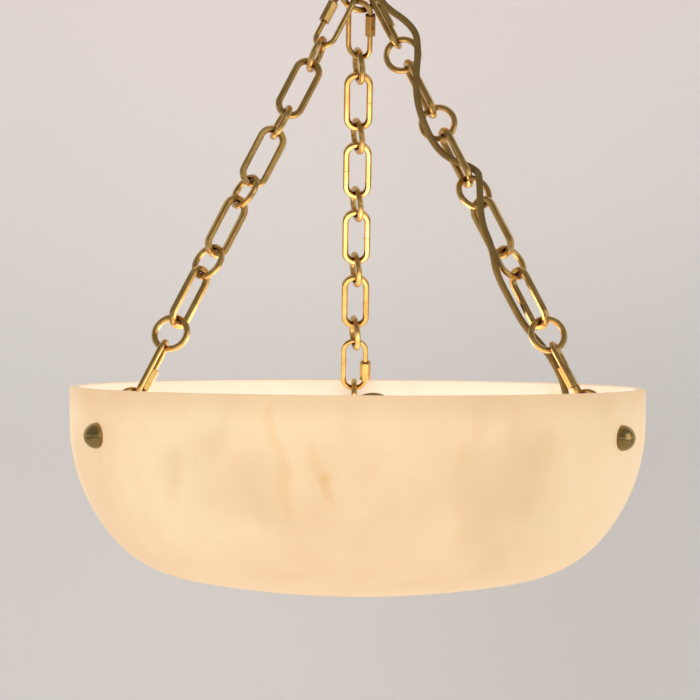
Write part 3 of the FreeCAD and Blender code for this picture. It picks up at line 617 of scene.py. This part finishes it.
def make_plain(name, colour, metallic, roughness, patch=0.08):
    """Plain material with soft clouds in its colour and a fine grain in its gloss."""
    material, tree, shader = new_material(name)
    where = object_vector(tree)
    patches = noise(tree, where, PAINT_CLOUD_SCALE, detail=4.0, roughness=0.6)
    dark = tuple(c * (1.0 - patch) for c in colour)
    light = tuple(min(1.0, c * (1.0 + patch)) for c in colour)
    shade = ramp(tree, patches, *zip(PAINT_CLOUD_PLACES, (dark, light)))
    join(tree, shade, shader.inputs["Base Color"])
    shader.inputs["Metallic"].default_value = metallic
    grain = noise(tree, where, PAINT_GRAIN_SCALE, detail=3.0)
    gloss = maths(tree, "MULTIPLY_ADD", grain, PAINT_GLOSS_RANGE, roughness - PAINT_GLOSS_RANGE / 2)
    join(tree, gloss, shader.inputs["Roughness"])
    join(tree, bump(tree, grain, PAINT_GRAIN_STRENGTH, PAINT_GRAIN_DEPTH), shader.inputs["Normal"])
    return material


# ---------------------------------------------------------------- bulb

CAP_REACH = 0.0683                     # from the lamp's axis to where a bulb's glass starts
CAP_EDGE = 0.0003                      # width of the change from plate to glass
THREAD_PITCH = 0.0036
THREAD_DEPTH = 0.0008
THREAD_STRENGTH = 0.8
HAZE_SCALE = 60.0
OPAL_STOPS = ((0.3, (0.90, 0.85, 0.74)), (0.7, (0.93, 0.89, 0.80)))
CAP_STOPS = ((0.3, (0.60, 0.59, 0.56)), (0.7, (0.70, 0.69, 0.66)))
CAP_ROUGHNESS = 0.32
GLASS_SMOOTHER = -0.12                 # what the glass adds to that roughness
BULB_GLOW = (0.90, 0.74, 0.50)
NO_GLOW = (0.0, 0.0, 0.0)


def make_bulb():
    """Opal glass that glows, and a plated screw cap at its foot."""
    material, tree, shader = new_material("opal_bulb")
    where = object_vector(tree)
    reach = vector_maths(tree, "LENGTH", stretched(tree, where, (1.0, 1.0, 0.0)))
    glass = eased_step(tree, reach, CAP_REACH - CAP_EDGE, CAP_REACH)
    cap = inverted(tree, glass)
    haze = noise(tree, where, HAZE_SCALE, detail=3.0)
    colour = mixed(tree, glass, ramp(tree, haze, *CAP_STOPS), ramp(tree, haze, *OPAL_STOPS))
    join(tree, colour, shader.inputs["Base Color"])
    join(tree, cap, shader.inputs["Metallic"])
    gloss = maths(tree, "MULTIPLY_ADD", glass, GLASS_SMOOTHER, CAP_ROUGHNESS)
    join(tree, gloss, shader.inputs["Roughness"])
    join(tree, mixed(tree, glass, NO_GLOW, BULB_GLOW), shader.inputs["Emission Color"])
    shader.inputs["Emission Strength"].default_value = 1.0
    turns = maths(tree, "SINE", maths(tree, "MULTIPLY", reach, 2 * math.pi / THREAD_PITCH))
    thread = maths(tree, "MULTIPLY", turns, cap)
    join(tree, bump(tree, thread, THREAD_STRENGTH, THREAD_DEPTH), shader.inputs["Normal"])
    return material


# ---------------------------------------------------------------- dressing the nodes

brass = make_brass("aged_brass_satin", (BRASS_DARK, BRASS_MIDDLE, BRASS_LIGHT), BRASS_ROUGHNESS,
                   BRASS_EDGE)
bolt_brass = make_brass("dark_turned_brass", (BOLT_DARK, BOLT_MIDDLE, BOLT_LIGHT), BOLT_ROUGHNESS,
                        BOLT_EDGE)
textile = make_textile()
SLOT_MATERIALS = {
    "alabaster": make_alabaster(),
    "aged_brass": brass,
    "hub_metal": make_plain("hub_paint", HUB_CREAM, metallic=0.0, roughness=0.42),
    "zinc_steel": make_plain("zinc_plate", ZINC_GREY, metallic=1.0, roughness=0.38),
    "bulb_glass": make_bulb(),
    "lampholder_plastic": make_plain("lampholder_white", HOLDER_WHITE, metallic=0.0, roughness=0.35,
                                     patch=0.04),
    "cord_textile": textile,
}
NODE_MATERIALS = {"dome_bolts": bolt_brass}    # nodes that differ from their slot


def dress(node, material):
    if not node.material_slots:
        node.data.materials.append(material)
    for slot in node.material_slots:
        slot.material = material


for subpart in frame["record"]["subparts"]:
    slot_material = SLOT_MATERIALS[subpart["material_slot"]]
    dress(nodes[subpart["node"]], NODE_MATERIALS.get(subpart["node"], slot_material))

# ---------------------------------------------------------------- cord pieces

line, cord_length = spaced_line(cord_line(), CORD_STEP)
cut = int(round(CORD_SPLIT / CORD_STEP))
top_length = cut * CORD_STEP
top_cord = tube("lamp_cord_top", line[:cut + 1], CORD_RADIUS, CORD_SIDES, textile)
main_cord = tube("lamp_cord_main", line[cut:], CORD_RADIUS, CORD_SIDES, textile, top_length)
for piece in (top_cord, main_cord):
    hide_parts("lamp_cord")
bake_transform(top_cord)
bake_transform(main_cord)

# ---------------------------------------------------------------- backdrop

WALL = 0.62                            # behind the lamp's axis
WALL_TOP = 1.6                         # height in the lamp's frame
HALF_WIDTH = 3.2
FLOOR = RIM - 1.25
FLOOR_FRONT = -3.5
CORNER = 0.4                           # radius of the bend between floor and wall
CORNER_PARTS = 12
PAPER = (0.985, 0.96, 0.95, 1.0)
PAPER_ROUGHNESS = 0.9
PAPER_GLOW = (0.066, 0.034, 0.022, 1.0)
GLOW_HEIGHTS = (RIM + 0.05, RIM + 0.45)    # where the wall's warm light starts and is full


def backdrop_profile():
    """Points (y, z) along the floor, round the bend and up the wall."""
    profile = [(FLOOR_FRONT, FLOOR), (WALL - CORNER, FLOOR)]
    for k in range(1, CORNER_PARTS + 1):
        angle = math.pi / 2 * k / CORNER_PARTS
        profile.append((WALL - CORNER + CORNER * math.sin(angle),
                        FLOOR + CORNER - CORNER * math.cos(angle)))
    profile.append((WALL, WALL_TOP))
    return profile


def make_paper():
    """Pale paper, clear from behind, with a touch of warm light high on the wall."""
    material, tree, shader = new_material("backdrop_paper")
    shader.inputs["Base Color"].default_value = PAPER
    shader.inputs["Roughness"].default_value = PAPER_ROUGHNESS
    shader.inputs["Emission Color"].default_value = PAPER_GLOW
    high = eased_step(tree, coordinate(tree, object_vector(tree), "Z"), *GLOW_HEIGHTS)
    # only the camera, reflections and glass see that light, so that it lights nothing
    rays = tree.nodes.new("ShaderNodeLightPath")
    seen = strongest(tree, [rays.outputs[kind] for kind in
                            ("Is Camera Ray", "Is Glossy Ray", "Is Transmission Ray")])
    join(tree, maths(tree, "MULTIPLY", high, seen), shader.inputs["Emission Strength"])
    side = tree.nodes.new("ShaderNodeNewGeometry")
    clear = tree.nodes.new("ShaderNodeBsdfTransparent")
    either = tree.nodes.new("ShaderNodeMixShader")
    join(tree, side.outputs["Backfacing"], either.inputs["Fac"])
    join(tree, shader.outputs["BSDF"], either.inputs[1])
    join(tree, clear.outputs["BSDF"], either.inputs[2])
    join(tree, either.outputs["Shader"], tree.nodes["Material Output"].inputs["Surface"])
    return material


def make_backdrop():
    """Floor that curves up into a wall behind the lamp."""
    profile = backdrop_profile()
    vertices = [(side * HALF_WIDTH, y, z) for y, z in profile for side in (-1, 1)]
    faces = [(2 * k, 2 * k + 1, 2 * k + 3, 2 * k + 2) for k in range(len(profile) - 1)]
    made = make_object("backdrop", vertices, faces, make_paper())


make_backdrop()

# ---------------------------------------------------------------- light

LAMP_WHITE = (1.0, 0.90, 0.90)
MOUTH_WIDTH = 0.456                    # of the light in the bowl's mouth
MOUTH_DEPTH = 0.036                    # of that light under the rim
BULB_SOFTNESS = 0.08                   # radius of the light between the bulbs
BULB_DEPTH = 0.03                      # of that light under the rim
SKY_STOPS = (                        # from straight down to straight up
    (0.0, (0.42, 0.415, 0.41)),
    (0.41, (0.22, 0.217, 0.21)),
    (0.47, (0.56, 0.55, 0.53)),
    (0.53, (0.56, 0.55, 0.53)),
    (0.60, (0.18, 0.178, 0.175)),
    (1.0, (0.26, 0.26, 0.26)),
)


def light_object(data, power, colour, place, aim=None):
    data.energy = power
    data.color = colour
    made = bpy.data.objects.new(data.name, data)
    bpy.context.scene.collection.objects.link(made)
    made.location = place
    if aim is not None:
        made.rotation_euler = (Vector(aim) - Vector(place)).to_track_quat("-Z", "Y").to_euler()
    return made


def area_light(name, shape, size, power, colour, place, aim):
    data = bpy.data.lights.new(name, "AREA")
    data.shape = shape
    data.size = size
    return light_object(data, power, colour, place, aim)


def make_softboxes():
    key = area_light("softbox_left", "SQUARE", size=3.0, power=31.0, colour=(1.0, 0.985, 0.965),
                     place=(-1.5, -2.3, RIM + 0.75), aim=(0.0, 0.0, RIM))
    key.visible_glossy = False         # the brass shows the room, not this softbox
    area_light("softbox_right", "SQUARE", size=2.6, power=17.0, colour=(1.0, 0.985, 0.97),
               place=(2.4, -2.0, RIM + 0.6), aim=(0.0, 0.0, RIM))


def make_lamp_light():
    """The lamp's own light: up from the bowl's mouth, and round inside it."""
    mouth = area_light("bowl_uplight", "DISK", size=MOUTH_WIDTH, power=0.56, colour=LAMP_WHITE,
                       place=(0.0, 0.0, RIM - MOUTH_DEPTH), aim=(0.0, 0.0, RIM + 1.0))
    mouth.visible_camera = False
    inside = bpy.data.lights.new("bulb_glow", "POINT")
    inside.shadow_soft_size = BULB_SOFTNESS
    light_object(inside, power=0.6, colour=LAMP_WHITE, place=(0.0, 0.0, RIM - BULB_DEPTH))


def make_world():
    """Soft grey room with a pale band at the horizon, which the brass reflects."""
    world = bpy.data.worlds.new("studio")
    bpy.context.scene.world = world
    world.use_nodes = True
    tree = world.node_tree
    direction = tree.nodes.new("ShaderNodeTexCoord").outputs["Generated"]
    climb = lifted(tree, coordinate(tree, direction, "Z"))
    join(tree, ramp(tree, climb, *SKY_STOPS), tree.nodes["Background"].inputs["Color"])


make_softboxes()
make_lamp_light()
make_world()

bpy.context.scene.view_settings.view_transform = "Standard"
